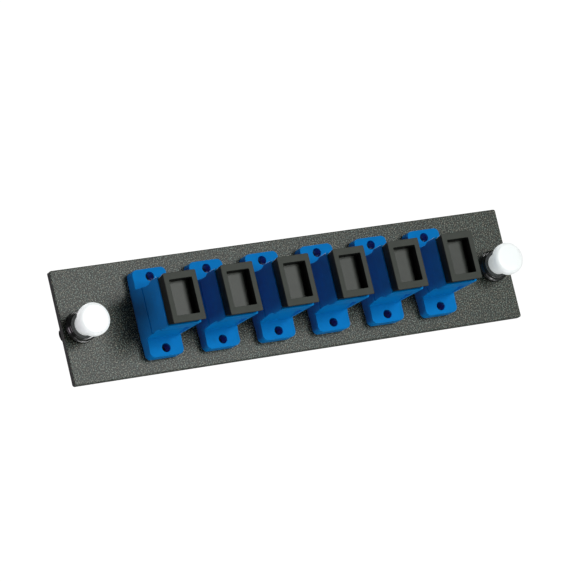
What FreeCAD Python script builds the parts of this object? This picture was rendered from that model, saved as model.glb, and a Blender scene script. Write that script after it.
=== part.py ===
import FreeCAD, Part
import math
import os

# Fibre adapter plate: a flat steel plate that carries a row of fibre adapters, each with a dust cap
# in either end, and a push latch near each end of the plate. All lengths are in millimetres.
# X runs along the plate, the front looks along -Y and +Z is up. The origin is the centre of the
# plate's rear face, which seats on the front of the rack enclosure.

# Plate
plate_thickness = 1.5
plate_end_margin = 25.0
plate_edge_margin = 3.4
plate_corner_radius = 0.55
plate_edge_round = 0.25
window_play = 0.15

# Row of adapters
adapter_count = 6
adapter_pitch = 15.9

# Adapter housing: a flange on the plate's front face, and a body that runs through the plate
body_width = 9.35
body_height = 12.7
body_reach = 12.6
body_corner_radius = 0.25
mouth_edge_chamfer = 0.15
side_wall = 0.875
flange_thickness = 3.3
ear_length = 4.85
ear_corner_radius = 1.4
ear_hole_inset = 2.05
ear_hole_diameter = 2.3
partition_thickness = 1.0
keyway_width = 2.5
keyway_depth = 5.0

# Seat for the spring clip, cut round the left side, the top and the bottom of each half of the body.
# At the top and the bottom it falls slowly from the flange, runs level and rises again.
clip_seat_fall = 4.9
clip_seat_land = 2.1
clip_seat_rise = 1.4
clip_seat_depth = 0.6
clip_seat_side_offset = 3.2
clip_seat_side_depth = 0.2
clip_seat_floor = 0.4
clip_seat_rib = 0.9
seam_width = 0.25
seam_depth = 0.1

# Inner holders
holder_base_thickness = 1.4
holder_play = 0.05
barrel_wall = 0.7
barrel_lip = 0.65
barrel_tip_chamfer = 0.3
arm_width = 3.6
arm_thickness = 0.5
arm_flex_gap = 0.2
arm_side_gap = 0.4
arm_setback = 0.25
hook_depth = 0.6
hook_land = 0.6
hook_ramp = 1.3

# Split alignment sleeve
sleeve_length = 11.4
sleeve_diameter = 3.2
sleeve_bore = 2.49
sleeve_slit = 0.45
sleeve_play = 0.1
sleeve_end_play = 0.1
ferrule_diameter = 2.5
ferrule_clearance = 0.1

# Spring clip
clip_thickness = 0.25
clip_play = 0.05
tab_width = 4.0
tab_lift = 1.45

# Dust cap
cap_side_step = 0.16
cap_rear_step = 0.5
cap_rim_depth = 3.15
cap_seat_gap = 0.05
cap_corner_radius = 0.35
cap_front_round = 0.2
cap_rim_side = 1.4
cap_rim_end = 1.8
cap_recess_depth = 3.0
cap_recess_radius = 0.3
cap_floor = 0.9
skirt_length = 3.0
skirt_wall = 0.8
skirt_play = 0.1
skirt_corner_radius = 0.4

# Push latch: a grommet held in the plate and a plunger that spreads its legs
latch_inset = 4.95
latch_drop = 0.4
latch_hole_play = 0.05
collar_base_diameter = 8.2
collar_base_height = 1.0
collar_diameter = 7.7
collar_height = 2.7
collar_round = 0.35
collar_base_round = 0.15
shoulder_diameter = 6.6
barrel_diameter = 6.0
barrel_reach = 5.7
barrel_end_chamfer = 0.5
leg_slit = 0.6
leg_root = 0.8
latch_bore = 3.6
knob_diameter = 8.3
knob_thickness = 2.4
knob_front_round = 0.9
knob_back_round = 0.5
neck_diameter = 5.45
neck_length = 4.25
neck_fillet = 0.4
shank_play = 0.15
shank_setback = 0.5
shank_chamfer = 0.4

# Sizes and places that follow from those above
flange_front = -(plate_thickness + flange_thickness)
flange_middle = -(plate_thickness + flange_thickness / 2)
mouth_front = flange_front - body_reach
pocket_depth = arm_thickness + arm_flex_gap
end_wall = clip_seat_depth + clip_seat_floor + pocket_depth
mouth_width = body_width - 2 * side_wall
mouth_height = body_height - 2 * end_wall
flange_height = body_height + 2 * ear_length
ear_hole_height = flange_height / 2 - ear_hole_inset
plate_length = (adapter_count - 1) * adapter_pitch + 2 * plate_end_margin
plate_height = flange_height + 2 * plate_edge_margin
partition_front = flange_middle - partition_thickness / 2
barrel_bore = sleeve_diameter + 2 * sleeve_play
sleeve_end = flange_middle - sleeve_length / 2
barrel_tip = sleeve_end - sleeve_end_play - barrel_lip
arm_tip = barrel_tip + arm_setback
clip_seat_land_start = flange_front - clip_seat_fall
clip_seat_land_end = clip_seat_land_start - clip_seat_land
clip_seat_end = clip_seat_land_end - clip_seat_rise
clip_seat_side_start = flange_front - clip_seat_side_offset
latch_x = plate_length / 2 - latch_inset
collar_front = -(plate_thickness + collar_height)
knob_back = collar_front - neck_length


def vector(x, y, z):
    return FreeCAD.Vector(x, y, z)


def block(x_range, y_range, z_range):
    """A plain block between two values on each axis."""
    low = vector(x_range[0], y_range[0], z_range[0])
    size = [abs(high - start) for start, high in (x_range, y_range, z_range)]
    return Part.makeBox(size[0], size[1], size[2], low)


def rod(diameter, y_range, x=0.0, z=0.0):
    """A round bar along Y."""
    return Part.makeCylinder(diameter / 2, y_range[1] - y_range[0], vector(x, y_range[0], z), vector(0, 1, 0))


def rounded_outline(width, height, radius, y):
    """A rectangle with rounded corners, centred on the Y axis."""
    a = width / 2
    b = height / 2
    r = radius
    k = r * (1 - math.sqrt(0.5))
    edges = []
    for sx, sz in ((1, 1), (-1, 1), (-1, -1), (1, -1)):
        start = vector(sx * a, y, sz * (b - r))
        middle = vector(sx * (a - k), y, sz * (b - k))
        end = vector(sx * (a - r), y, sz * b)
        if sx * sz < 0:
            start, end = end, start
        edges.append(Part.Arc(start, middle, end).toShape())
    joined = []
    for first, second in zip(edges, edges[1:] + edges[:1]):
        joined.append(first)
        joined.append(Part.makeLine(first.Vertexes[-1].Point, second.Vertexes[0].Point))
    return Part.Wire(joined)


def rounded_prism(width, height, radius, y_range):
    """A prism along Y with rounded corners."""
    face = Part.Face(rounded_outline(width, height, radius, y_range[0]))
    return face.extrude(vector(0, y_range[1] - y_range[0], 0))


def turned(profile):
    """A turned solid about the Y axis from (radius, y) points that start and end on the axis."""
    corners = [vector(radius, y, 0) for radius, y in profile]
    face = Part.Face(Part.makePolygon(corners + corners[:1]))
    return face.revolve(vector(0, 0, 0), vector(0, 1, 0), 360)


def circles_at(shape, diameter, y):
    """The round edges of a turned solid that have one diameter and lie at one y."""
    found = []
    for edge in shape.Edges:
        if not isinstance(edge.Curve, Part.Circle):
            continue
        same_size = abs(edge.Curve.Radius - diameter / 2) < 1e-4
        if same_size and abs(edge.Curve.Center.y - y) < 1e-4:
            found.append(edge)
    return found


def outline_edges(shape, y, width, height):
    """The edges at one y that lie on the outside of a rectangle of this size."""
    found = []
    for edge in shape.Edges:
        box = edge.BoundBox
        flat = abs(box.YMin - y) < 1e-4 and abs(box.YMax - y) < 1e-4
        reach = max(abs(box.XMin), abs(box.XMax)) > width / 2 - 0.01
        rise = max(abs(box.ZMin), abs(box.ZMax)) > height / 2 - 0.01
        if flat and (reach or rise):
            found.append(edge)
    return found


def mirrored(shape):
    """The same shape on the other side of the flange's middle plane."""
    return shape.mirror(vector(0, flange_middle, 0), vector(0, 1, 0))


def flipped(shape):
    """The same shape turned over from the top to the bottom."""
    return shape.mirror(vector(0, 0, 0), vector(0, 0, 1))


def adapter_places():
    """The x of each adapter's centre, from left to right."""
    first = -(adapter_count - 1) * adapter_pitch / 2
    return [first + number * adapter_pitch for number in range(adapter_count)]


def make_plate():
    plate = rounded_prism(plate_length, plate_height, plate_corner_radius, (-plate_thickness, 0))
    rims = outline_edges(plate, -plate_thickness, plate_length, plate_height)
    plate = plate.makeFillet(plate_edge_round, rims)
    through = (-plate_thickness - 1, 1)
    for x in adapter_places():
        half = body_width / 2 + window_play
        rise = body_height / 2 + window_play
        plate = plate.cut(block((x - half, x + half), through, (-rise, rise)))
        for side in (-1, 1):
            plate = plate.cut(rod(ear_hole_diameter, through, x, side * ear_hole_height))
    for side in (-1, 1):
        plate = plate.cut(rod(shoulder_diameter + 2 * latch_hole_play, through, side * latch_x, -latch_drop))
    return plate


def make_clip_seat():
    """What the clip's seat takes away from the front half of the body."""
    left = -body_width / 2 - 1
    right = body_width / 2 - clip_seat_rib
    top = body_height / 2
    floor = top - clip_seat_depth
    outline = [
        (flange_front, top),
        (clip_seat_land_start, floor),
        (clip_seat_land_end, floor),
        (clip_seat_end, top),
        (clip_seat_end, top + 1),
        (flange_front, top + 1),
    ]
    corners = [vector(left, y, z) for y, z in outline]
    upper = Part.Face(Part.makePolygon(corners + corners[:1])).extrude(vector(right - left, 0, 0))
    side_floor = -body_width / 2 + clip_seat_side_depth
    side = block((left, side_floor), (clip_seat_end, clip_seat_side_start), (-body_height, body_height))
    seam_range = (clip_seat_side_start - seam_width, clip_seat_side_start)
    seam = block((left, side_floor + seam_depth), seam_range, (-body_height, body_height))
    return upper.fuse([flipped(upper), side, seam])


def make_socket():
    """What the front socket takes away: the mouth, the latch arms' pockets and the keyway."""
    y_range = (mouth_front - 1, partition_front)
    pocket_half = arm_width / 2 + arm_side_gap
    pocket_rise = mouth_height / 2 + pocket_depth
    mouth = block((-mouth_width / 2, mouth_width / 2), y_range, (-mouth_height / 2, mouth_height / 2))
    pockets = block((-pocket_half, pocket_half), y_range, (-pocket_rise, pocket_rise))
    keyway_range = (mouth_front - 1, mouth_front + keyway_depth)
    keyway = block((0, body_width), keyway_range, (-keyway_width / 2, keyway_width / 2))
    return mouth.fuse([pockets, keyway])


def make_housing():
    flange = rounded_prism(body_width, flange_height, ear_corner_radius, (flange_front, -plate_thickness))
    front = rounded_prism(body_width, body_height, body_corner_radius, (mouth_front, flange_middle))
    front = front.makeChamfer(mouth_edge_chamfer, outline_edges(front, mouth_front, body_width, body_height))
    front = front.cut(make_clip_seat())
    outside = flange.fuse([front, mirrored(front)])
    socket = make_socket()
    through = (flange_front - 1, 1)
    holes = [rod(ear_hole_diameter, through, 0, side * ear_hole_height) for side in (-1, 1)]
    return outside.cut([socket, mirrored(socket), rod(barrel_bore, through)] + holes).removeSplitter()


def make_holder():
    """The front holder: a base on the partition, a barrel and two latch arms."""
    base_front = partition_front - holder_base_thickness
    base_range = (base_front, partition_front)
    half_width = mouth_width / 2 - holder_play
    half_height = mouth_height / 2 - holder_play
    arm_root = mouth_height / 2 + arm_thickness
    base = block((-half_width, half_width), base_range, (-half_height, half_height))
    lugs = block((-arm_width / 2, arm_width / 2), base_range, (-arm_root, arm_root))
    outer = barrel_bore + 2 * barrel_wall
    barrel = rod(outer, (barrel_tip, base_front))
    barrel = barrel.makeChamfer(barrel_tip_chamfer, circles_at(barrel, outer, barrel_tip))
    holder = base.fuse([lugs, barrel, make_arm(base_front), flipped(make_arm(base_front))])
    holder = holder.cut(rod(barrel_bore, (sleeve_end - sleeve_end_play, partition_front + 1)))
    holder = holder.cut(rod(ferrule_diameter + 2 * ferrule_clearance, (barrel_tip - 1, partition_front)))
    return holder.removeSplitter()


def make_arm(base_front):
    """The upper latch arm, with a hook that a plug snaps behind."""
    inside = mouth_height / 2
    hook = inside - hook_depth
    outline = [
        (base_front, inside + arm_thickness),
        (arm_tip, inside + arm_thickness),
        (arm_tip, inside),
        (arm_tip + hook_ramp, hook),
        (arm_tip + hook_ramp + hook_land, hook),
        (arm_tip + hook_ramp + hook_land, inside),
        (base_front, inside),
    ]
    corners = [vector(-arm_width / 2, y, z) for y, z in outline]
    return Part.Face(Part.makePolygon(corners + corners[:1])).extrude(vector(arm_width, 0, 0))


def make_sleeve():
    y_range = (sleeve_end, sleeve_end + sleeve_length)
    sleeve = rod(sleeve_diameter, y_range).cut(rod(sleeve_bore, y_range))
    slit = block((0, sleeve_diameter), y_range, (-sleeve_slit / 2, sleeve_slit / 2))
    return sleeve.cut(slit)


def make_clip():
    """The spring clip on the rear half: a web on the left side, two legs and two sprung tabs."""
    start = 2 * flange_middle - clip_seat_land_start + clip_play
    end = start + clip_seat_land - 2 * clip_play
    inner_rise = body_height / 2 - clip_seat_depth + clip_play
    outer_rise = inner_rise + clip_thickness
    web_inside = -body_width / 2 + clip_seat_side_depth - clip_play
    web_outside = web_inside - clip_thickness
    leg_end = body_width / 2 - clip_seat_rib - clip_play
    shell = block((web_outside, leg_end), (start, end), (-outer_rise, outer_rise))
    inside = block((web_inside, body_width), (start, end), (-inner_rise, inner_rise))
    strip = shell.cut(inside)
    tip = clip_play
    rise = outer_rise + tab_lift
    outline = [(end, inner_rise), (end, outer_rise + clip_thickness), (tip, rise + clip_thickness), (tip, rise)]
    outline.append((end - clip_thickness, inner_rise))
    corners = [vector(-tab_width / 2, y, z) for y, z in outline]
    tab = Part.Face(Part.makePolygon(corners + corners[:1])).extrude(vector(tab_width, 0, 0))
    return strip.fuse([tab, flipped(tab)]).removeSplitter()


def make_cap():
    """The front dust cap: a rim that widens forwards, a blind recess in its face, and a hollow skirt."""
    rear = mouth_front - cap_seat_gap
    front = rear - cap_rim_depth
    width = body_width - 2 * cap_side_step
    outlines = [
        rounded_outline(width, body_height - 2 * cap_rear_step, cap_corner_radius, rear),
        rounded_outline(width, body_height, cap_corner_radius, front),
    ]
    rim = Part.makeLoft(outlines, True, True)
    rim = rim.makeFillet(cap_front_round, outline_edges(rim, front, width, body_height))
    floor_front = front + cap_recess_depth
    recess_width = width - 2 * cap_rim_side
    recess_height = body_height - 2 * cap_rim_end
    recess = rounded_prism(recess_width, recess_height, cap_recess_radius, (front - 1, floor_front))
    skirt_width = mouth_width - 2 * skirt_play
    skirt_height = mouth_height - 2 * skirt_play
    skirt_end = mouth_front + skirt_length
    skirt = rounded_prism(skirt_width, skirt_height, skirt_corner_radius, (floor_front - cap_floor, skirt_end))
    hollow_radius = max(skirt_corner_radius - skirt_wall, 0.1)
    hollow_range = (floor_front + cap_floor, skirt_end + 1)
    hollow = rounded_prism(skirt_width - 2 * skirt_wall, skirt_height - 2 * skirt_wall, hollow_radius, hollow_range)
    return rim.fuse(skirt).cut([recess, hollow]).removeSplitter()


def make_grommet():
    """The latch's grommet: a stepped collar on the plate, a shoulder in it and split legs behind it."""
    face = -plate_thickness
    base_top = face - collar_base_height
    profile = [
        (latch_bore / 2, collar_front),
        (collar_diameter / 2, collar_front),
        (collar_diameter / 2, base_top),
        (collar_base_diameter / 2, base_top),
        (collar_base_diameter / 2, face),
        (shoulder_diameter / 2, face),
        (shoulder_diameter / 2, 0),
        (barrel_diameter / 2, 0),
        (barrel_diameter / 2, barrel_reach - barrel_end_chamfer),
        (barrel_diameter / 2 - barrel_end_chamfer, barrel_reach),
        (latch_bore / 2, barrel_reach),
    ]
    grommet = turned(profile)
    grommet = grommet.makeFillet(collar_round, circles_at(grommet, collar_diameter, collar_front))
    grommet = grommet.makeFillet(collar_base_round, circles_at(grommet, collar_base_diameter, base_top))
    half = barrel_diameter
    slit = block((-half, half), (leg_root, barrel_reach + 1), (-leg_slit / 2, leg_slit / 2))
    for angle in (45, 135):
        grommet = grommet.cut(slit.rotated(vector(0, 0, 0), vector(0, 1, 0), angle))
    return grommet


def make_plunger():
    """The latch's plunger, pushed in: its neck stands on the collar and its shank spreads the legs."""
    knob_front = knob_back - knob_thickness
    shank = latch_bore - 2 * shank_play
    tip = barrel_reach - shank_setback
    profile = [
        (0, knob_front),
        (knob_diameter / 2, knob_front),
        (knob_diameter / 2, knob_back),
        (neck_diameter / 2, knob_back),
        (neck_diameter / 2, collar_front),
        (shank / 2, collar_front),
        (shank / 2, tip - shank_chamfer),
        (shank / 2 - shank_chamfer, tip),
        (0, tip),
    ]
    plunger = turned(profile)
    plunger = plunger.makeFillet(knob_front_round, circles_at(plunger, knob_diameter, knob_front))
    plunger = plunger.makeFillet(knob_back_round, circles_at(plunger, knob_diameter, knob_back))
    return plunger.makeFillet(neck_fillet, circles_at(plunger, neck_diameter, knob_back))


def save(name, shape, x=0.0, z=0.0):
    """Writes a copy of the shape, moved along and up the plate, as one named piece."""
    placed = shape.copy()
    placed.translate(vector(x, 0, z))
    if not placed.isValid() or len(placed.Solids) != 1:
        raise ValueError("{}: valid {}, solids {}".format(name, placed.isValid(), len(placed.Solids)))
    placed.Solids[0].exportStep(os.path.join("parts", name + ".step"))


os.makedirs("parts", exist_ok=True)

save("plate", make_plate())

front_holder = make_holder()
front_cap = make_cap()
adapter_pieces = {
    "housing": make_housing(),
    "front_holder": front_holder,
    "rear_holder": mirrored(front_holder),
    "alignment_sleeve": make_sleeve(),
    "spring_clip": make_clip(),
    "front_dust_cap": front_cap,
    "rear_dust_cap": mirrored(front_cap),
}
for number, place in enumerate(adapter_places(), start=1):
    for name, shape in adapter_pieces.items():
        save("{}_{}".format(name, number), shape, place)

grommet = make_grommet()
plunger = make_plunger()
for name, side in (("left", -1), ("right", 1)):
    save("latch_grommet_" + name, grommet, side * latch_x, -latch_drop)
    save("latch_plunger_" + name, plunger, side * latch_x, -latch_drop)
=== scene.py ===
import logging
import math
from dataclasses import dataclass
from enum import Enum
from typing import Callable, Sequence

import bmesh
import bpy
from mathutils import Matrix, Vector


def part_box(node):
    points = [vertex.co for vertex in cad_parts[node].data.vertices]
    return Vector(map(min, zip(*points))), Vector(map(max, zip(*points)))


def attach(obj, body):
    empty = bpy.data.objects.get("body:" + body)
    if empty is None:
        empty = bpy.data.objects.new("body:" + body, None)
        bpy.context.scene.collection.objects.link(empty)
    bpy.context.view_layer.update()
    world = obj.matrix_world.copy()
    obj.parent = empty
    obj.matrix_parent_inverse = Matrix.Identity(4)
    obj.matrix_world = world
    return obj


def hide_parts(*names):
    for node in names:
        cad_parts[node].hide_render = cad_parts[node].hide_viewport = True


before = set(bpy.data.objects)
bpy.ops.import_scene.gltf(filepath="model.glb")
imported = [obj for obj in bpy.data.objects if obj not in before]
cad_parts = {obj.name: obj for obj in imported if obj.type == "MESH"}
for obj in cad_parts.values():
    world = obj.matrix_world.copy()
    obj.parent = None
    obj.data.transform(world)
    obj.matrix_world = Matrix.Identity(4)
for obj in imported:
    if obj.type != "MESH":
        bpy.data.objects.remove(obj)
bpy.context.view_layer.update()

log = logging.getLogger("adapter_plate")

MM = 0.001
ADAPTER_COUNT = 6

MERGE_DISTANCE = 0.002 * MM
MIX_FACTOR, MIX_FIRST, MIX_SECOND, MIX_RESULT = 0, 6, 7, 2

Point = tuple[float, float]
Colour = tuple[float, float, float]
Socket = bpy.types.NodeSocket
Mesh = bmesh.types.BMesh
Face = bmesh.types.BMFace
Edge = bmesh.types.BMEdge


class Side(Enum):
    """The two ends of the plate, each with the sign of its X."""

    LEFT = -1
    RIGHT = 1

    @property
    def label(self) -> str:
        """Returns the word that node names use for this end."""
        return self.name.lower()


class Mouth(Enum):
    """The two mouths of an adapter."""

    FRONT = "front"
    REAR = "rear"


class Graph:
    """Builds one node material around a Principled shader.

    Args:
        name: the material's name.
    """

    def __init__(self, name: str) -> None:
        """Makes the material and its first three nodes."""
        self.material = bpy.data.materials.new(name)
        self.material.use_nodes = True
        self.tree = self.material.node_tree
        self.tree.nodes.clear()
        self.shader = self.add("ShaderNodeBsdfPrincipled")
        self.output = self.add("ShaderNodeOutputMaterial")
        self.coordinates = self.add("ShaderNodeTexCoord").outputs["Object"]
        self.join(self.shader.outputs["BSDF"], self.output.inputs["Surface"])

    def add(self, kind: str, **settings: object) -> bpy.types.Node:
        """Adds a node.

        Args:
            kind: the node's type name.
            settings: attributes of the node, set as given.

        Returns:
            The new node.
        """
        node = self.tree.nodes.new(kind)
        for key, value in settings.items():
            setattr(node, key, value)
        return node

    def join(self, source: Socket, target: Socket) -> None:
        """Links one socket to another."""
        self.tree.links.new(source, target)

    def set(self, **values: object) -> None:
        """Sets values on the shader's own sockets, with underscores for the spaces in their names."""
        for key, value in values.items():
            socket = self.shader.inputs[key.replace("_", " ")]
            socket.default_value = (*value, 1.0) if isinstance(value, tuple) else value

    def noise(
        self, size: float, detail: float = 2.0, roughness: float = 0.5, stretch: Colour = (1, 1, 1),
    ) -> Socket:
        """Adds a noise pattern.

        Args:
            size: the size of its features, in metres.
            detail: how many finer layers it has.
            roughness: how strong the finer layers are.
            stretch: how much denser the pattern is along each axis.

        Returns:
            The socket with the noise, from 0 to 1.
        """
        place = self.add("ShaderNodeMapping")
        place.inputs["Scale"].default_value = stretch
        self.join(self.coordinates, place.inputs["Vector"])
        node = self.add("ShaderNodeTexNoise")
        node.inputs["Scale"].default_value = 1 / size
        node.inputs["Detail"].default_value = detail
        node.inputs["Roughness"].default_value = roughness
        self.join(place.outputs["Vector"], node.inputs["Vector"])
        return node.outputs["Fac"]

    def ramp(self, source: Socket, stops: Sequence[tuple[float, Colour]]) -> Socket:
        """Turns a value into a colour.

        Args:
            source: the value's socket.
            stops: places along the ramp, each with its colour.

        Returns:
            The socket with the colour.
        """
        node = self.add("ShaderNodeValToRGB")
        points = node.color_ramp.elements
        while len(points) < len(stops):
            points.new(1.0)
        for point, (place, colour) in zip(points, stops):
            point.position = place
            point.color = (*colour, 1.0)
        self.join(source, node.inputs["Fac"])
        return node.outputs["Color"]

    def span(
        self, source: Socket, low: float, high: float, start: float = 0.0, end: float = 1.0,
    ) -> Socket:
        """Maps a value onto another range.

        Args:
            source: the value's socket.
            low: what the start becomes.
            high: what the end becomes.
            start: the source's value at the low end.
            end: the source's value at the high end.

        Returns:
            The socket with the mapped value.
        """
        node = self.add("ShaderNodeMapRange")
        for key, value in (("From Min", start), ("From Max", end), ("To Min", low), ("To Max", high)):
            node.inputs[key].default_value = value
        self.join(source, node.inputs["Value"])
        return node.outputs["Result"]

    def mix(self, factor: Socket, first: Socket | Colour, second: Socket | Colour) -> Socket:
        """Mixes two colours.

        Args:
            factor: the socket with the second colour's share.
            first: a socket or a plain colour.
            second: a socket or a plain colour.

        Returns:
            The socket with the mixed colour.
        """
        node = self.add("ShaderNodeMix", data_type="RGBA")
        self.join(factor, node.inputs[MIX_FACTOR])
        for socket, value in ((node.inputs[MIX_FIRST], first), (node.inputs[MIX_SECOND], second)):
            if isinstance(value, tuple):
                socket.default_value = (*value, 1.0)
            else:
                self.join(value, socket)
        return node.outputs[MIX_RESULT]

    def multiply(self, first: Socket, second: Socket) -> Socket:
        """Returns the socket with the product of two colours."""
        node = self.add("ShaderNodeMix", data_type="RGBA", blend_type="MULTIPLY")
        node.inputs[MIX_FACTOR].default_value = 1.0
        self.join(first, node.inputs[MIX_FIRST])
        self.join(second, node.inputs[MIX_SECOND])
        return node.outputs[MIX_RESULT]

    def math(self, operation: str, first: Socket, second: float = 0.0) -> Socket:
        """Returns the socket with the result of a math operation on a value."""
        node = self.add("ShaderNodeMath", operation=operation)
        self.join(first, node.inputs[0])
        node.inputs[1].default_value = second
        return node.outputs[0]

    def facing(self, axis: str = "Y") -> Socket:
        """Returns the socket with how far a face looks along an axis, either way, from 0 to 1."""
        turn = self.add("ShaderNodeSeparateXYZ")
        self.join(self.add("ShaderNodeNewGeometry").outputs["Normal"], turn.inputs["Vector"])
        return self.math("ABSOLUTE", turn.outputs[axis])

    def bump(self, layers: Sequence[tuple[Socket, float, float]]) -> None:
        """Gives the shader a relief.

        Args:
            layers: height sockets, each with its strength and its depth in metres.
        """
        below = None
        for height, strength, depth in layers:
            node = self.add("ShaderNodeBump")
            node.inputs["Strength"].default_value = strength
            node.inputs["Distance"].default_value = depth
            self.join(height, node.inputs["Height"])
            if below is not None:
                self.join(below, node.inputs["Normal"])
            below = node.outputs["Normal"]
        self.join(below, self.shader.inputs["Normal"])


@dataclass(frozen=True)
class PowderCoat:
    """The plate's fine textured powder coat, with a plain colour of its own on the narrow sides.

    Attributes:
        dark: the coat between its grains.
        light: the coat on its grains.
        fleck: the brightest grains.
        edge: the coat on the plate's narrow sides.
        warm: the tint of some grains.
        cool: the tint of the others.
        grain: the size of a grain, in metres.
        patch: the size of the paler and darker patches, in grains.
        roughness: the roughness between the grains and on them.
        reflection: the strength of its reflection.
        relief: the height of the grains, in metres.
    """

    dark: Colour = (0.004, 0.007, 0.004)
    light: Colour = (0.026, 0.036, 0.025)
    fleck: Colour = (0.25, 0.29, 0.238)
    edge: Colour = (0.085, 0.092, 0.086)
    warm: Colour = (1.14, 0.96, 0.90)
    cool: Colour = (0.88, 1.02, 1.06)
    grain: float = 0.30 * MM
    patch: float = 14.0
    roughness: Point = (0.38, 0.28)
    reflection: float = 0.17
    relief: float = 0.014 * MM

    def make(self) -> bpy.types.Material:
        """Returns the finished material."""
        graph = Graph("powder_coat")
        grains = graph.noise(self.grain, detail=2.0, roughness=0.6)
        patches = graph.noise(self.grain * self.patch, detail=2.0)
        coat = graph.ramp(grains, [(0.42, self.dark), (0.53, self.light), (0.64, self.fleck)])
        shade = graph.ramp(patches, [(0.3, (0.90, 0.90, 0.90)), (0.7, (1.06, 1.06, 1.06))])
        tint = graph.ramp(graph.noise(self.grain * 1.5), [(0.4, self.warm), (0.6, self.cool)])
        face = graph.multiply(graph.multiply(coat, shade), tint)
        # The faces that don't look along Y, the plate's narrow sides, take the plain edge colour.
        flat = graph.span(graph.facing(), 0.0, 1.0, 0.35, 0.85)
        graph.join(graph.mix(flat, self.edge, face), graph.shader.inputs["Base Color"])
        graph.join(graph.span(grains, *self.roughness), graph.shader.inputs["Roughness"])
        graph.set(Specular_IOR_Level=self.reflection)
        graph.bump([(grains, 0.6, self.relief)])
        return graph.material


@dataclass(frozen=True)
class MouldedPlastic:
    """A satin injection-moulded plastic with a faint spark-eroded grain.

    Attributes:
        name: the material's name.
        deep: its darker colour.
        bright: its lighter colour.
        roughness: its least and greatest roughness.
        cloud: the size of its paler and darker clouds, in metres.
        grain: the size of its grain, in metres.
        relief: the depth of its grain, in metres.
        sheen_tint: the colour of its reflection seen straight on.
        reflection: the strength of its reflection, 0.5 for common plastic.
        scatter_and_painted_glow: how much light spreads under its surface, from 0 to 1; it also scales the
            painted glow.
        glow_depth: how far that light spreads, in metres.
        painted_glow_strength: painted light, the strength of an emission in the bright colour that makes the
            part shine though it is no lamp, at a full glow.
        painted_side_glow: painted light, a faint emission on the faces that look along X that stands in for
            scattered light on them.
    """

    name: str
    deep: Colour
    bright: Colour
    roughness: Point = (0.30, 0.42)
    cloud: float = 2.2 * MM
    grain: float = 0.12 * MM
    relief: float = 0.006 * MM
    sheen_tint: Colour = (1.0, 1.0, 1.0)
    reflection: float = 0.5
    scatter_and_painted_glow: float = 0.0
    glow_depth: float = 5.0 * MM
    painted_glow_strength: float = 0.54
    painted_side_glow: Colour | None = None

    def make(self) -> bpy.types.Material:
        """Returns the finished material."""
        graph = Graph(self.name)
        clouds = graph.noise(self.cloud, detail=3.0, roughness=0.6)
        grain = graph.noise(self.grain, detail=2.0)
        colour = graph.ramp(clouds, [(0.3, self.deep), (0.7, self.bright)])
        graph.join(colour, graph.shader.inputs["Base Color"])
        graph.join(graph.span(clouds, *self.roughness), graph.shader.inputs["Roughness"])
        graph.set(Specular_IOR_Level=self.reflection, Specular_Tint=self.sheen_tint)
        # Painted light: a faint emission on the faces that look along X, standing in for scattered light on
        # them.
        if self.painted_side_glow:
            sides = graph.span(graph.facing("X"), 0.0, 1.0, 0.5, 0.9)
            graph.join(graph.mix(sides, (0.0, 0.0, 0.0), self.painted_side_glow), graph.shader.inputs["Emission Color"])
            graph.set(Emission_Strength=1.0)
        if self.scatter_and_painted_glow:
            graph.set(Subsurface_Weight=self.scatter_and_painted_glow, Subsurface_Scale=self.glow_depth)
            # Painted light: an emission in the bright colour makes the part glow, on top of the light that
            # spreads under its surface.
            graph.set(Emission_Color=self.bright, Emission_Strength=self.scatter_and_painted_glow * self.painted_glow_strength)
            graph.shader.inputs["Subsurface Radius"].default_value = (1.0, 1.0, 1.0)
        graph.bump([(grain, 0.5, self.relief), (clouds, 0.35, self.relief * 3)])
        return graph.material


@dataclass(frozen=True)
class SoftCap:
    """The dust caps' soft dull plastic, which is paler on the floor of the recess, with painted shade: a
    near-black colour on the walls.

    Attributes:
        wall_painted_shade: painted shade, a near-black colour on the faces along the socket, which don't
            look along Y: the outer sides and the recess walls.
        rim: the colour of the face round the recess.
        floor: the colour of the recess's floor.
        middle: the y that the front and rear caps lie on either side of.
        floor_reach: how far from there the colour of the floor ends.
        rim_reach: how far from there the colour of the rim starts.
        roughness: the roughness of the floor and of the rim.
        reflection: the strength of its reflection.
        cloud: the size of its paler and darker clouds, in metres.
        grain: the size of its grain, in metres.
        relief: the depth of its grain, in metres.
    """

    wall_painted_shade: Colour = (0.006, 0.008, 0.007)
    rim: Colour = (0.052, 0.060, 0.050)
    floor: Colour = (0.041, 0.049, 0.039)
    middle: float = -3.15 * MM
    floor_reach: float = 15.0 * MM
    rim_reach: float = 17.0 * MM
    roughness: Point = (0.38, 0.62)
    reflection: float = 0.22
    cloud: float = 1.8 * MM
    grain: float = 0.10 * MM
    relief: float = 0.012 * MM

    def make(self) -> bpy.types.Material:
        """Returns the finished material."""
        graph = Graph("soft_grey_plastic")
        clouds = graph.noise(self.cloud, detail=3.0, roughness=0.6)
        grain = graph.noise(self.grain, detail=2.0)
        place = graph.add("ShaderNodeSeparateXYZ")
        graph.join(graph.coordinates, place.inputs["Vector"])
        shifted = graph.math("SUBTRACT", place.outputs["Y"], self.middle)
        reach = graph.math("ABSOLUTE", shifted)
        face = graph.span(reach, 0.0, 1.0, self.floor_reach, self.rim_reach)
        # Painted shade: faces that don't look along Y, the outer sides and the recess walls, get the
        # near-black wall colour.
        facing = graph.span(graph.facing(), 0.0, 1.0, 0.45, 0.9)
        front = graph.mix(face, self.floor, self.rim)
        colour = graph.mix(facing, self.wall_painted_shade, front)
        cloudy = graph.ramp(clouds, [(0.3, (0.92, 0.92, 0.92)), (0.7, (1.05, 1.05, 1.05))])
        graph.join(graph.multiply(colour, cloudy), graph.shader.inputs["Base Color"])
        graph.join(graph.span(face, *self.roughness), graph.shader.inputs["Roughness"])
        graph.set(Specular_IOR_Level=self.reflection)
        graph.bump([(grain, 0.5, self.relief), (clouds, 0.35, self.relief * 2.5)])
        return graph.material


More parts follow.
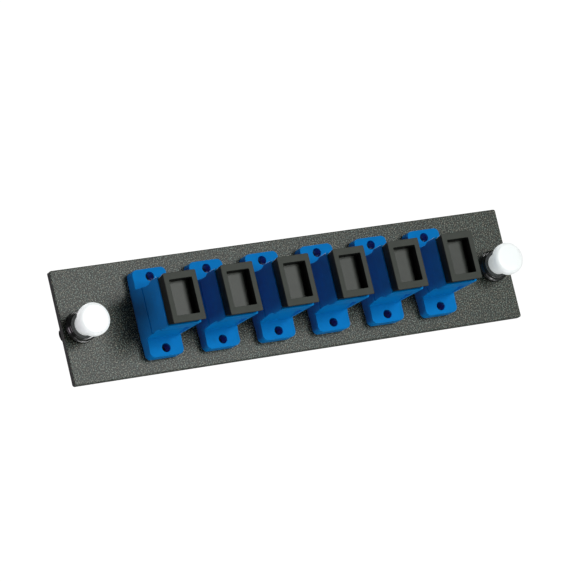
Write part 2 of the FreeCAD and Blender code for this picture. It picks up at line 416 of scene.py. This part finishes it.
@dataclass(frozen=True)
class SpringSteel:
    """Rolled stainless strip, with fine lines along the strip.

    Attributes:
        colour: its brighter colour.
        shade: how dark its darker colour is beside that.
        line: the size of the rolling lines, in metres.
        stretch: how much denser the lines are along each axis.
        relief: the depth of the lines, in metres.
    """

    colour: Colour = (0.58, 0.57, 0.54)
    shade: float = 0.82
    line: float = 0.10 * MM
    stretch: Colour = (6.0, 0.4, 6.0)
    relief: float = 0.006 * MM

    def make(self) -> bpy.types.Material:
        """Returns the finished material."""
        graph = Graph("spring_steel")
        lines = graph.noise(self.line, detail=3.0, stretch=self.stretch)
        cloud = graph.noise(1.6 * MM)
        darker = tuple(self.shade * channel for channel in self.colour)
        colour = graph.ramp(cloud, [(0.3, darker), (0.7, self.colour)])
        graph.join(colour, graph.shader.inputs["Base Color"])
        graph.join(graph.span(lines, 0.22, 0.42), graph.shader.inputs["Roughness"])
        graph.set(Metallic=1.0)
        graph.bump([(lines, 0.4, self.relief)])
        return graph.material


@dataclass(frozen=True)
class Ceramic:
    """The polished white ceramic of the alignment sleeves.

    Attributes:
        colour: its brighter colour.
        shade: how dark its darker colour is beside that.
    """

    colour: Colour = (0.86, 0.86, 0.83)
    shade: float = 0.95

    def make(self) -> bpy.types.Material:
        """Returns the finished material."""
        graph = Graph("ceramic")
        cloud = graph.noise(0.8 * MM)
        darker = tuple(self.shade * channel for channel in self.colour)
        colour = graph.ramp(cloud, [(0.2, darker), (0.8, self.colour)])
        graph.join(colour, graph.shader.inputs["Base Color"])
        graph.join(graph.span(cloud, 0.12, 0.18), graph.shader.inputs["Roughness"])
        return graph.material


def wear(piece: bpy.types.Object, material: bpy.types.Material) -> None:
    """Puts one material into every slot of a piece.

    Args:
        piece: the piece, which may have no slot yet.
        material: its finish.
    """
    if not piece.material_slots:
        piece.data.materials.append(material)
    for slot in piece.material_slots:
        slot.material = material


def add_piece(name: str, mesh: Mesh, material: bpy.types.Material) -> bpy.types.Object:
    """Turns a bmesh into a smooth-shaded object at the origin.

    Args:
        name: the piece's name.
        mesh: its shape, which is freed.
        material: its finish.

    Returns:
        The new object.
    """
    data = bpy.data.meshes.new(name)
    mesh.to_mesh(data)
    mesh.free()
    data.shade_smooth()
    piece = bpy.data.objects.new(name, data)
    bpy.context.scene.collection.objects.link(piece)
    wear(piece, material)
    return piece


def soften(node: str, width: float, material: bpy.types.Material, segments: int = 2) -> bpy.types.Object:
    """Makes a piece with the solid's own shape and its sharp edges rounded, as moulding leaves them.

    Args:
        node: the solid that the piece stands for.
        width: how far the rounding reaches from each edge, in metres.
        material: the piece's finish.
        segments: how many faces each rounding has.

    Returns:
        The new object.
    """
    mesh = bmesh.new()
    mesh.from_mesh(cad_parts[node].data)
    bmesh.ops.remove_doubles(mesh, verts=mesh.verts, dist=MERGE_DISTANCE)
    bmesh.ops.dissolve_limit(mesh, angle_limit=math.radians(0.5), verts=mesh.verts, edges=mesh.edges)
    round_edges(mesh, sharp_edges(mesh, 30, lambda e: True), width, segments)
    piece = add_piece(node + "_shell", mesh, material)
    weigh_normals(piece)
    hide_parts(node)
    return piece


def weigh_normals(piece: bpy.types.Object) -> None:
    """Makes a piece's large faces shade flat and its roundings shade smooth."""
    normals = piece.modifiers.new("face_normals", "WEIGHTED_NORMAL")
    normals.keep_sharp = True
    normals.weight = 80


def spin_profile(mesh: Mesh, profile: Sequence[Point], ring: bool = False, steps: int = 96) -> None:
    """Turns a profile about the Y axis, in an empty bmesh.

    Args:
        mesh: where the shape goes.
        profile: points of (radius, y) in metres, in order.
        ring: whether the profile closes on itself, instead of on the axis.
        steps: how many faces one turn has.
    """
    points = [mesh.verts.new((radius, y, 0)) for radius, y in profile]
    ends = points[1:] + points[:1] if ring else points[1:]
    edges = [mesh.edges.new(pair) for pair in zip(points, ends)]
    bmesh.ops.spin(
        mesh, geom=points + edges, cent=(0, 0, 0), axis=(0, 1, 0), angle=math.tau,
        steps=steps, use_merge=True,
    )
    bmesh.ops.remove_doubles(mesh, verts=mesh.verts, dist=MERGE_DISTANCE)
    bmesh.ops.recalc_face_normals(mesh, faces=mesh.faces)


def sharp_edges(mesh: Mesh, angle: float, keep: Callable[[Edge], bool]) -> list[Edge]:
    """Finds edges to round.

    Args:
        mesh: the shape.
        angle: the least angle between an edge's faces, in degrees.
        keep: a further test of an edge.

    Returns:
        The edges that pass both.
    """
    edges = [e for e in mesh.edges if len(e.link_faces) == 2 and e.calc_face_angle() > math.radians(angle)]
    return [e for e in edges if keep(e)]


def round_edges(mesh: Mesh, edges: list[Edge], width: float, segments: int) -> None:
    """Rounds edges.

    Args:
        mesh: the shape.
        edges: what to round.
        width: how far the rounding reaches from each edge, in metres.
        segments: how many faces each rounding has.
    """
    bmesh.ops.bevel(
        mesh, geom=edges, offset=width, offset_type="OFFSET", segments=segments, profile=0.5,
        affect="EDGES", material=-1, clamp_overlap=False,
    )


def step_face(mesh: Mesh, face: Face, size: Point, shift: float) -> Face:
    """Extrudes a face that looks along Y to a new outline.

    Args:
        mesh: the shape.
        face: the face, which the new one replaces.
        size: the new outline's width and height in metres.
        shift: how far the new face moves along Y, in metres.

    Returns:
        The new face.
    """
    wide = max(v.co.x for v in face.verts) - min(v.co.x for v in face.verts)
    high = max(v.co.z for v in face.verts) - min(v.co.z for v in face.verts)
    moved = bmesh.ops.extrude_discrete_faces(mesh, faces=[face])["faces"][0]
    corners = list(moved.verts)
    bmesh.ops.scale(mesh, verts=corners, vec=(size[0] / wide, 1.0, size[1] / high))
    bmesh.ops.translate(mesh, verts=corners, vec=(0.0, shift, 0.0))
    return moved


def arc(centre: Point, radius: float, start: float, end: float, count: int = 6) -> list[Point]:
    """Returns points on an arc.

    Args:
        centre: the arc's centre, as (radius, y).
        radius: the arc's own radius.
        start: its first angle in degrees, from the outward direction towards +Y.
        end: its last angle.
        count: how many steps it has.

    Returns:
        The points, both ends included.
    """
    angles = [math.radians(start + (end - start) * k / count) for k in range(count + 1)]
    return [(centre[0] + radius * math.cos(a), centre[1] + radius * math.sin(a)) for a in angles]


@dataclass
class Finishes:
    """Every finish of the object, made once."""

    coat: bpy.types.Material
    housing: bpy.types.Material
    holder: bpy.types.Material
    ceramic: bpy.types.Material
    steel: bpy.types.Material
    cap: bpy.types.Material
    grommet: bpy.types.Material
    plunger: bpy.types.Material

    @classmethod
    def make(cls) -> "Finishes":
        """Returns the set of finishes."""
        return cls(
            coat=PowderCoat().make(),
            housing=MouldedPlastic(
                "blue_plastic", (0.001, 0.185, 0.51), (0.001, 0.210, 0.58), (0.40, 0.48),
                # The housing's sides get painted light, a faint emission.
                sheen_tint=(0.1, 0.4, 1.0), reflection=0.12, painted_side_glow=(0.0035, 0.0, 0.001),
            ).make(),
            holder=MouldedPlastic("natural_plastic", (0.60, 0.58, 0.52), (0.68, 0.66, 0.60)).make(),
            ceramic=Ceramic().make(),
            steel=SpringSteel().make(),
            cap=SoftCap().make(),
            grommet=MouldedPlastic(
                "black_nylon", (0.010, 0.013, 0.011), (0.016, 0.019, 0.017), (0.10, 0.18), reflection=1.0,
            ).make(),
            plunger=MouldedPlastic(
                # The white nylon carries a painted glow, an emission, besides its light scattering.
                "white_nylon", (0.66, 0.70, 0.69), (0.68, 0.72, 0.71), (0.30, 0.40), scatter_and_painted_glow=0.9,
            ).make(),
        )


@dataclass
class Plate:
    """The coated plate, whose own solid is shown."""

    finishes: Finishes

    def build(self) -> None:
        """Dresses the plate."""
        wear(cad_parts["plate"], self.finishes.coat)
        log.info("plate: dressed")


@dataclass
class DustCap:
    """A dust cap: a rim that widens towards its face, a blind recess, and a hollow skirt in the socket.

    Attributes:
        node: the solid that it stands for, and the body that it rides on.
        mouth: which mouth it closes.
        finishes: the set of finishes.
        width: the rim's width.
        height: the rim's height at its face.
        rear_height: the rim's height against the socket.
        rim_depth: the rim's depth.
        corner_radius: the rounding of the rim's corners.
        face_round: the rounding round the face.
        recess_size: the recess's width and height.
        recess_depth: the recess's depth.
        skirt_size: the skirt's width and height.
        skirt_reach: how far the skirt stands out of the rim.
        skirt_wall: the skirt's wall.
        skirt_floor: how thick the cap is between the recess and the skirt's hollow.
        small_round: the rounding of every other edge.
    """

    node: str
    mouth: Mouth
    finishes: Finishes
    width: float = 9.03 * MM
    height: float = 12.7 * MM
    rear_height: float = 11.7 * MM
    rim_depth: float = 3.15 * MM
    corner_radius: float = 0.35 * MM
    face_round: float = 0.2 * MM
    recess_size: Point = (6.23 * MM, 9.1 * MM)
    recess_depth: float = 3.0 * MM
    skirt_size: Point = (7.4 * MM, 9.1 * MM)
    skirt_reach: float = 3.05 * MM
    skirt_wall_painted_shade: float = 0.8 * MM
    skirt_floor: float = 0.9 * MM
    small_round: float = 0.1 * MM

    def build(self) -> None:
        """Builds the cap in its place."""
        mesh = self.shape()
        low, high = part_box(self.node)
        middle = (low.x + high.x) / 2
        face_y = low.y
        if self.mouth is Mouth.REAR:
            bmesh.ops.rotate(mesh, verts=mesh.verts, cent=(0, 0, 0), matrix=Matrix.Rotation(math.pi, 3, "Z"))
            face_y = high.y
        bmesh.ops.translate(mesh, verts=mesh.verts, vec=(middle, face_y, 0.0))
        cap = add_piece(self.node + "_moulding", mesh, self.finishes.cap)
        weigh_normals(cap)
        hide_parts(self.node)
        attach(cap, self.node)

    def shape(self) -> Mesh:
        """Returns the cap with the middle of its face at the origin, looking along -Y."""
        mesh = bmesh.new()
        bmesh.ops.create_cube(mesh, size=1.0)
        bmesh.ops.translate(mesh, verts=mesh.verts, vec=(0.0, 0.5, 0.0))
        bmesh.ops.scale(mesh, verts=mesh.verts, vec=(self.width, self.rim_depth, self.height))
        round_edges(mesh, sharp_edges(mesh, 30, self.runs_along_y), self.corner_radius, 6)
        rear = [v for v in mesh.verts if v.co.y > self.rim_depth / 2]
        bmesh.ops.scale(mesh, verts=rear, vec=(1.0, 1.0, self.rear_height / self.height))
        face = min(mesh.faces, key=lambda f: f.calc_center_median().y)
        mouth = step_face(mesh, face, self.recess_size, 0.0)
        step_face(mesh, mouth, self.recess_size, self.recess_depth)
        back = max(mesh.faces, key=lambda f: f.calc_center_median().y)
        skirt = step_face(mesh, back, self.skirt_size, 0.0)
        lip = step_face(mesh, skirt, self.skirt_size, self.skirt_reach)
        inner = (self.skirt_size[0] - 2 * self.skirt_wall_painted_shade, self.skirt_size[1] - 2 * self.skirt_wall_painted_shade)
        rim = step_face(mesh, lip, inner, 0.0)
        depth = self.rim_depth + self.skirt_reach - self.recess_depth - self.skirt_floor
        step_face(mesh, rim, inner, -depth)
        round_edges(mesh, sharp_edges(mesh, 45, self.is_face_edge), self.face_round, 4)
        round_edges(mesh, sharp_edges(mesh, 45, lambda e: True), self.small_round, 2)
        return mesh

    def runs_along_y(self, edge: Edge) -> bool:
        """Returns whether an edge goes from the face to the back."""
        return abs(edge.verts[0].co.y - edge.verts[1].co.y) > self.rim_depth / 2

    def is_face_edge(self, edge: Edge) -> bool:
        """Returns whether an edge is on the outline of the face."""
        reach = self.width / 2 - 0.5 * MM
        rise = self.height / 2 - 0.5 * MM
        outside = all(abs(v.co.x) > reach or abs(v.co.z) > rise for v in edge.verts)
        return outside and max(v.co.y for v in edge.verts) < 0.01 * MM


@dataclass
class Adapter:
    """One adapter: housing, holders, sleeve, spring clip and dust caps.

    Attributes:
        number: its place in the row, from 1 at the left.
        finishes: the set of finishes.
        housing_round: the rounding of the housing's edges, in metres.
    """

    number: int
    finishes: Finishes
    housing_round: float = 0.09 * MM

    def node(self, kind: str) -> str:
        """Returns the name of one of this adapter's nodes."""
        return f"{kind}_{self.number}"

    def build(self) -> None:
        """Builds and dresses every piece of the adapter."""
        housing = soften(self.node("housing"), self.housing_round, self.finishes.housing)
        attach(housing, "root")
        for mouth in Mouth:
            DustCap(self.node(f"{mouth.value}_dust_cap"), mouth, self.finishes).build()
            wear(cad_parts[self.node(f"{mouth.value}_holder")], self.finishes.holder)
        wear(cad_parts[self.node("alignment_sleeve")], self.finishes.ceramic)
        wear(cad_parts[self.node("spring_clip")], self.finishes.steel)
        log.info("adapter %d: %d faces on the housing", self.number, len(housing.data.polygons))


@dataclass
class Latch:
    """One push latch: a grommet in the plate and the plunger through it.

    Attributes:
        side: which end of the plate it holds.
        finishes: the set of finishes.
        centre: the distance of its axis from the plate's middle.
        drop: how far its axis is below the plate's middle.
        plate_front: the y of the plate's front face.
        bore_radius: the grommet's bore.
        base_radius: the radius of the collar's wider foot.
        base_height: how far the foot stands out of the plate.
        base_round: the rounding of the foot's rim.
        collar_radius: the collar's radius.
        collar_height: how far the collar stands out of the plate.
        collar_round: the rounding of the collar's rim.
        shoulder_radius: the radius inside the plate's hole.
        barrel_radius: the radius of the split barrel behind the plate.
        barrel_reach: how far the barrel stands out behind the plate.
        barrel_chamfer: the chamfer at the barrel's end.
        leg_root: where the slits between the legs start.
        leg_slit: the width of a slit.
        neck_radius: the radius of the plunger's neck.
        neck_length: the length of the neck that shows.
        neck_fillet: the fillet between neck and knob.
        knob_radius: the knob's radius.
        knob_thickness: the knob's thickness.
        knob_front_round: the rounding round the knob's face.
        knob_back_round: the rounding round its back.
        shank_radius: the radius of the plunger inside the grommet.
        shank_tip: the y of the plunger's end.
        shank_chamfer: the chamfer at the plunger's end.
    """

    side: Side
    finishes: Finishes
    centre: float = 59.8 * MM
    drop: float = 0.4 * MM
    plate_front: float = -1.5 * MM
    bore_radius: float = 1.8 * MM
    base_radius: float = 4.1 * MM
    base_height: float = 1.0 * MM
    base_round: float = 0.15 * MM
    collar_radius: float = 3.85 * MM
    collar_height: float = 2.7 * MM
    collar_round: float = 0.35 * MM
    shoulder_radius: float = 3.3 * MM
    barrel_radius: float = 3.0 * MM
    barrel_reach: float = 5.7 * MM
    barrel_chamfer: float = 0.5 * MM
    leg_root: float = 0.8 * MM
    leg_slit: float = 0.6 * MM
    neck_radius: float = 2.725 * MM
    neck_length: float = 4.25 * MM
    neck_fillet: float = 0.4 * MM
    knob_radius: float = 4.15 * MM
    knob_thickness: float = 2.4 * MM
    knob_front_round: float = 0.9 * MM
    knob_back_round: float = 0.5 * MM
    shank_radius: float = 1.65 * MM
    shank_tip: float = 5.2 * MM
    shank_chamfer: float = 0.4 * MM

    @property
    def collar_front(self) -> float:
        """Returns the y of the collar's front."""
        return self.plate_front - self.collar_height

    def build(self) -> None:
        """Builds both pieces."""
        plunger = self.place("latch_plunger", self.turn_plunger(), self.finishes.plunger)
        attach(plunger, f"latch_plunger_{self.side.label}")
        grommet = self.place("latch_grommet", self.turn_grommet(), self.finishes.grommet)
        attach(grommet, "root")

    def place(self, kind: str, mesh: Mesh, material: bpy.types.Material) -> bpy.types.Object:
        """Puts a turned piece at its end of the plate.

        Args:
            kind: the piece's kind, as its node names it.
            mesh: its shape, about the Y axis.
            material: its finish.

        Returns:
            The new object.
        """
        node = f"{kind}_{self.side.label}"
        bmesh.ops.translate(mesh, verts=mesh.verts, vec=(self.side.value * self.centre, 0.0, -self.drop))
        piece = add_piece(node + "_turned", mesh, material)
        weigh_normals(piece)
        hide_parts(node)
        log.info("%s: %d faces", piece.name, len(piece.data.polygons))
        return piece

    def turn_plunger(self) -> Mesh:
        """Returns the plunger: knob, neck and shank, about the Y axis."""
        back = self.collar_front - self.neck_length
        front = back - self.knob_thickness
        rim = self.knob_radius
        face = self.knob_front_round
        heel = self.knob_back_round
        fillet = self.neck_fillet
        profile = [(0.0, front), (rim / 2, front)]
        profile += arc((rim - face, front + face), face, -90, 0, 8)
        profile += arc((rim - heel, back - heel), heel, 0, 90, 6)
        profile += arc((self.neck_radius + fillet, back + fillet), fillet, 270, 180, 5)
        profile += [(self.neck_radius, self.collar_front), (self.shank_radius, self.collar_front)]
        profile += [(self.shank_radius, self.shank_tip - self.shank_chamfer)]
        profile += [(self.shank_radius - self.shank_chamfer, self.shank_tip), (0.0, self.shank_tip)]
        mesh = bmesh.new()
        spin_profile(mesh, profile)
        return mesh

    def turn_grommet(self) -> Mesh:
        """Returns the grommet: collar, shoulder and four legs, about the Y axis."""
        base_top = self.plate_front - self.base_height
        brow = self.collar_round
        foot = self.base_round
        profile = [(self.bore_radius, self.collar_front)]
        profile += arc((self.collar_radius - brow, self.collar_front + brow), brow, -90, 0)
        profile += [(self.collar_radius, base_top)]
        profile += arc((self.base_radius - foot, base_top + foot), foot, -90, 0, 4)
        profile += [(self.base_radius, self.plate_front), (self.shoulder_radius, self.plate_front)]
        profile += [(self.shoulder_radius, 0.0), (self.barrel_radius, 0.0)]
        profile += [(self.barrel_radius, self.leg_root), (self.bore_radius, self.leg_root)]
        mesh = bmesh.new()
        spin_profile(mesh, profile, ring=True)
        legs = bmesh.new()
        self.turn_leg(legs)
        part = bpy.data.meshes.new("leg")
        quarter = Matrix.Rotation(math.pi / 2, 3, "Y")
        for _ in range(4):
            legs.to_mesh(part)
            mesh.from_mesh(part)
            bmesh.ops.rotate(legs, verts=legs.verts, cent=(0, 0, 0), matrix=quarter)
        legs.free()
        bpy.data.meshes.remove(part)
        return mesh

    def turn_leg(self, mesh: Mesh) -> None:
        """Makes one leg of the split barrel, between slits at 45 degrees to the plate's edges.

        Args:
            mesh: where the leg goes.
        """
        tip = self.barrel_reach
        outline = [
            (self.bore_radius, self.leg_root), (self.barrel_radius, self.leg_root),
            (self.barrel_radius, tip - self.barrel_chamfer), (self.barrel_radius - self.barrel_chamfer, tip),
            (self.bore_radius, tip),
        ]
        face = mesh.faces.new([mesh.verts.new((radius, y, 0.0)) for radius, y in outline])
        geometry = [face, *face.edges, *face.verts]
        bmesh.ops.rotate(mesh, verts=face.verts, cent=(0, 0, 0), matrix=Matrix.Rotation(math.pi / 4, 3, "Y"))
        bmesh.ops.spin(mesh, geom=geometry, cent=(0, 0, 0), axis=(0, 1, 0), angle=-math.pi / 2, steps=24)
        for end in Side:
            outward = Vector((-1.0, 0.0, end.value)).normalized()
            bmesh.ops.bisect_plane(
                mesh, geom=[*mesh.verts, *mesh.edges, *mesh.faces], dist=0.001 * MM,
                plane_co=outward * -self.leg_slit / 2, plane_no=outward, clear_outer=True,
            )
        bmesh.ops.holes_fill(mesh, edges=[e for e in mesh.edges if e.is_boundary], sides=0)
        bmesh.ops.recalc_face_normals(mesh, faces=mesh.faces)
        round_edges(mesh, sharp_edges(mesh, 40, lambda e: True), 0.04 * MM, 2)


@dataclass(frozen=True)
class PhotoView:
    """The camera of the photograph, fitted to the plate's corners, the ear holes and the caps.

    Attributes:
        azimuth: degrees round the plate, 0 looking along +Y.
        elevation: degrees above the plate's own horizon.
        roll: degrees that the camera is turned about its line of sight.
        distance: metres from the target.
        target: the middle of the plate's front face.
        pixels_per_metre: the image's scale at the target.
        target_pixel: where the target shows in the image.
        image_side: the image's side in pixels.
        sensor: the sensor's width in millimetres.
    """

    azimuth: float = -28.95
    elevation: float = -9.202
    roll: float = -13.394
    distance: float = 0.9691
    target: Colour = (0.0, -1.5 * MM, 0.0)
    pixels_per_metre: float = 3960.5
    target_pixel: Point = (292.198, 294.533)
    image_side: int = 582
    sensor: float = 36.0

    def axes(self) -> tuple[Vector, Vector, Vector]:
        """Returns the camera's right, up and backward directions."""
        a = math.radians(self.azimuth)
        e = math.radians(self.elevation)
        r = math.radians(self.roll)
        back = Vector((math.sin(a) * math.cos(e), -math.cos(a) * math.cos(e), math.sin(e)))
        level = Vector((math.cos(a), math.sin(a), 0.0))
        upright = back.cross(level)
        right = math.cos(r) * level + math.sin(r) * upright
        up = math.cos(r) * upright - math.sin(r) * level
        return right, up, back

    def build(self) -> None:
        """Makes the camera and gives it to the scene."""
        right, up, back = self.axes()
        middle = self.image_side / 2
        across = (self.target_pixel[0] - middle) / self.pixels_per_metre
        rise = (middle - self.target_pixel[1]) / self.pixels_per_metre
        data = bpy.data.cameras.new("photo_view")
        data.sensor_width = self.sensor
        data.lens = self.pixels_per_metre * self.distance / self.image_side * self.sensor
        data.clip_start = 0.05
        camera = bpy.data.objects.new("photo_view", data)
        place = Vector(self.target) - across * right - rise * up + self.distance * back
        turn = Matrix((right, up, back)).transposed().to_4x4()
        camera.matrix_world = Matrix.Translation(place) @ turn
        bpy.context.scene.collection.objects.link(camera)
        bpy.context.scene.camera = camera


@dataclass(frozen=True)
class Lamp:
    """One soft area light, aimed at the plate.

    Attributes:
        name: its name.
        azimuth: degrees round the plate, 0 in front of it and 90 at its right.
        elevation: degrees above the plate's horizon.
        distance: metres from the plate.
        size: the side of its square face in metres.
        power: its power in watts.
        colour: its colour.
    """

    name: str
    azimuth: float
    elevation: float
    distance: float
    size: float
    power: float
    colour: Colour = (1.0, 1.0, 1.0)

    def build(self) -> None:
        """Makes the light."""
        a = math.radians(self.azimuth)
        e = math.radians(self.elevation)
        direction = Vector((math.sin(a) * math.cos(e), -math.cos(a) * math.cos(e), math.sin(e)))
        data = bpy.data.lights.new(self.name, "AREA")
        data.size = self.size
        data.energy = self.power
        data.color = self.colour
        lamp = bpy.data.objects.new(self.name, data)
        lamp.location = direction * self.distance
        lamp.rotation_euler = direction.to_track_quat("Z", "Y").to_euler()
        bpy.context.scene.collection.objects.link(lamp)


@dataclass(frozen=True)
class Studio:
    """The plain pale floor, the white surroundings and the soft lights.

    Attributes:
        floor_depth: how far the floor is below the plate's middle, in metres.
        floor_radius: the floor's radius, in metres.
        backdrop: how bright the surroundings show.
        surround: how strongly they light the object.
        shade: the colour of that light.
    """

    floor_depth: float = 0.30
    floor_radius: float = 0.34
    backdrop: float = 1.05
    surround: float = 0.02
    shade: Colour = (1.0, 0.78, 0.95)

    def build(self) -> None:
        """Makes everything round the object."""
        mesh = bmesh.new()
        bmesh.ops.create_circle(mesh, cap_ends=True, segments=96, radius=self.floor_radius)
        bmesh.ops.translate(mesh, verts=mesh.verts, vec=(0, 0, -self.floor_depth))
        graph = Graph("pale_floor")
        graph.set(Base_Color=(0.82, 0.82, 0.82), Roughness=0.8)
        add_piece("floor", mesh, graph.material)
        self.build_surround()
        bpy.context.scene.view_settings.view_transform = "Standard"
        for lamp in (
            Lamp("key", azimuth=18.5, elevation=3, distance=2.2, size=0.84, power=34.5),
            Lamp(
                "left_fill", azimuth=-88, elevation=-4, distance=0.8, size=0.4, power=1.7,
                colour=(1.0, 0.88, 1.0),
            ),
            Lamp("low_fill", azimuth=8, elevation=-76, distance=0.28, size=0.10, power=0.16),
            Lamp("back_fill", azimuth=180, elevation=44, distance=1.2, size=0.9, power=9.0),
            Lamp("overhead", azimuth=0, elevation=84, distance=0.9, size=0.3, power=2.0),
        ):
            lamp.build()

    def build_surround(self) -> None:
        """Makes the white surroundings, which light the object less than they show."""
        world = bpy.data.worlds.new("surround")
        bpy.context.scene.world = world
        world.use_nodes = True
        nodes = world.node_tree.nodes
        links = world.node_tree.links
        nodes.clear()
        output = nodes.new("ShaderNodeOutputWorld")
        seen = nodes.new("ShaderNodeBackground")
        seen.inputs["Strength"].default_value = self.backdrop
        cast = nodes.new("ShaderNodeBackground")
        cast.inputs["Strength"].default_value = self.surround
        path = nodes.new("ShaderNodeLightPath")
        choice = nodes.new("ShaderNodeMixShader")
        for shader, colour in ((seen, (1.0, 1.0, 1.0)), (cast, self.shade)):
            shader.inputs["Color"].default_value = (*colour, 1.0)
        links.new(path.outputs["Is Camera Ray"], choice.inputs["Fac"])
        links.new(cast.outputs["Background"], choice.inputs[1])
        links.new(seen.outputs["Background"], choice.inputs[2])
        links.new(choice.outputs["Shader"], output.inputs["Surface"])


def main() -> None:
    """Builds the object, its surroundings and the camera."""
    logging.basicConfig(level=logging.INFO, format="%(name)s: %(message)s")
    finishes = Finishes.make()
    Plate(finishes).build()
    for number in range(1, ADAPTER_COUNT + 1):
        Adapter(number, finishes).build()
    for side in Side:
        Latch(side, finishes).build()
    PhotoView().build()
    Studio().build()


if __name__ == "__main__":
    main()
